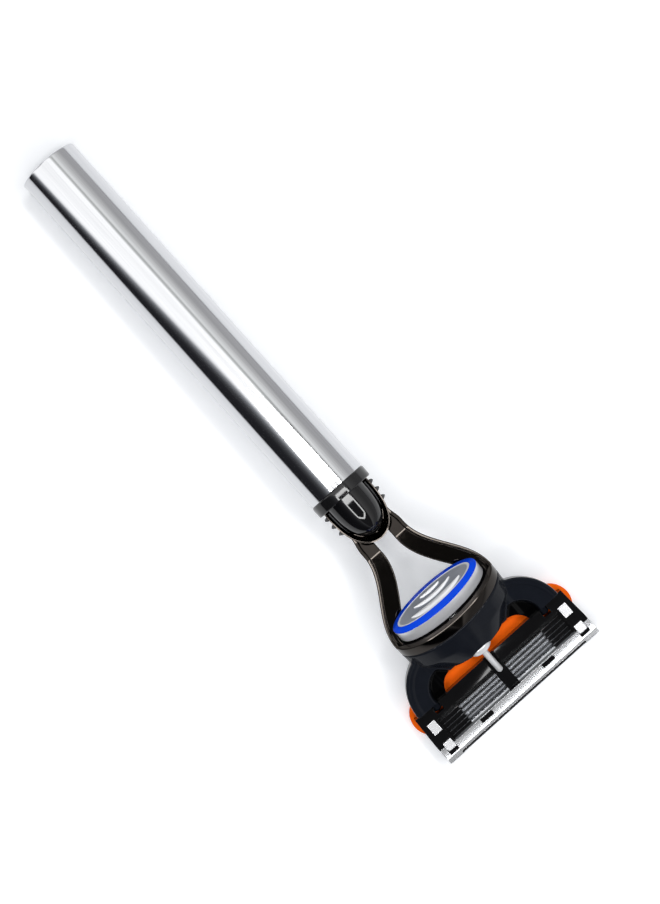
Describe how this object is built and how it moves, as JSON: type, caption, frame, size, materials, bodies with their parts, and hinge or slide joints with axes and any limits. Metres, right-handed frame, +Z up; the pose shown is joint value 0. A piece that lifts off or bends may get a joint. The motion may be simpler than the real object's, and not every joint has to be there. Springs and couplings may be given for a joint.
{
  "type": "cartridge razor",
  "caption": "Cartridge razor with a steel tube handle, an open fork with a release button, and a pivoting clip-on head with sprung blades, rubber guard and trimmer.",
  "frame": {"origin": "middle of the razor's bounding box, on the table it lies on with the blades down", "axes": "+X from the closed end of the tube towards the head, +Y across the blades, +Z up"},
  "size_m": [0.1516, 0.0436, 0.0201],
  "materials": {
    "steel_tube": "satin, brushed along the tube",
    "brass_insert": "turned",
    "screw_steel": "plain",
    "collar_black": "gloss",
    "fork_gunmetal": "dark polished plating",
    "dome_black": "high gloss",
    "pad_rubber": "matt, moulded ribs",
    "dock_black": "moulded",
    "spring_steel": "drawn wire",
    "button_silver": "satin silver",
    "button_blue": "gloss",
    "button_grey": "satin, raised crescents",
    "plunger_silver": "satin silver-grey",
    "yoke_black": "satin, blue-black",
    "housing_black": "moulded",
    "guard_orange": "smooth",
    "strip_pale": "waxy",
    "clip_aluminium": "bright rolled",
    "carrier_bright": "bright plated",
    "blade_steel": "ground edge",
    "support_steel": "rolled"
  },
  "bodies": {
    "handle": {"handle_tube": "steel_tube", "tube_insert": "brass_insert", "neck_screw": "screw_steel", "collar_ring": "collar_black", "fork_frame": "fork_gunmetal", "neck_dome": "dome_black", "grip_pad": "pad_rubber", "dock_body": "dock_black", "return_spring": "spring_steel"},
    "release_button": {"button_body": "button_silver", "button_ring": "button_blue", "button_pad": "button_grey", "ejector_arms": "dock_black"},
    "plunger_rod": {"plunger": "plunger_silver"},
    "cartridge_yoke": {"yoke": "yoke_black"},
    "blade_unit": {"blade_housing": "housing_black", "comfort_guard": "guard_orange", "lubricating_strip": "strip_pale", "spring_fingers": "housing_black", "clip_left": "clip_aluminium", "clip_right": "clip_aluminium", "trimmer_carrier": "carrier_bright", "trimmer_blade": "blade_steel"},
    "floating_blade_1": {"blade_1": "blade_steel", "blade_support_1": "support_steel"},
    "floating_blade_2": {"blade_2": "blade_steel", "blade_support_2": "support_steel"},
    "floating_blade_3": {"blade_3": "blade_steel", "blade_support_3": "support_steel"},
    "floating_blade_4": {"blade_4": "blade_steel", "blade_support_4": "support_steel"},
    "floating_blade_5": {"blade_5": "blade_steel", "blade_support_5": "support_steel"}
  },
  "joints": [
    {"name": "button_push", "type": "slide", "parent": "handle", "child": "release_button", "axis": [0.788, 0, -0.6157], "range_m": [0, 0.0042], "stiffness_N_per_m": 300, "springref_m": -0.003, "deforming": ["return_spring"]},
    {"name": "cartridge_release", "type": "slide", "parent": "handle", "child": "cartridge_yoke", "axis": [0.788, 0, -0.6157], "range_m": [0, 0.0042]},
    {"name": "head_pivot", "type": "hinge", "parent": "cartridge_yoke", "child": "blade_unit", "pos_m": [0.0643, 0, 0.0034], "axis": [0, -1, 0], "range_deg": [0, 40], "stiffness_Nm_per_rad": 0.015, "springref_deg": -17.19},
    {"name": "plunger_press", "type": "slide", "parent": "handle", "child": "plunger_rod", "axis": [-0.788, 0, 0.6157], "range_m": [0, 0.00235], "deforming": ["return_spring"]},
    {"name": "blade_float_1", "type": "slide", "parent": "blade_unit", "child": "floating_blade_1", "axis": [0, 0, 1], "range_m": [0, 0.00035], "stiffness_N_per_m": 120, "springref_m": -0.0004, "deforming": ["spring_fingers"]},
    {"name": "blade_float_2", "type": "slide", "parent": "blade_unit", "child": "floating_blade_2", "axis": [0, 0, 1], "range_m": [0, 0.00035], "stiffness_N_per_m": 120, "springref_m": -0.0004, "deforming": ["spring_fingers"]},
    {"name": "blade_float_3", "type": "slide", "parent": "blade_unit", "child": "floating_blade_3", "axis": [0, 0, 1], "range_m": [0, 0.00035], "stiffness_N_per_m": 120, "springref_m": -0.0004, "deforming": ["spring_fingers"]},
    {"name": "blade_float_4", "type": "slide", "parent": "blade_unit", "child": "floating_blade_4", "axis": [0, 0, 1], "range_m": [0, 0.00035], "stiffness_N_per_m": 120, "springref_m": -0.0004, "deforming": ["spring_fingers"]},
    {"name": "blade_float_5", "type": "slide", "parent": "blade_unit", "child": "floating_blade_5", "axis": [0, 0, 1], "range_m": [0, 0.00035], "stiffness_N_per_m": 120, "springref_m": -0.0004, "deforming": ["spring_fingers"]}
  ],
  "couplings": [
    {"joint": "cartridge_release", "follows": "button_push", "ratio": 1},
    {"joint": "head_pivot", "follows": "plunger_press", "rad_per_m": 297}
  ]
}
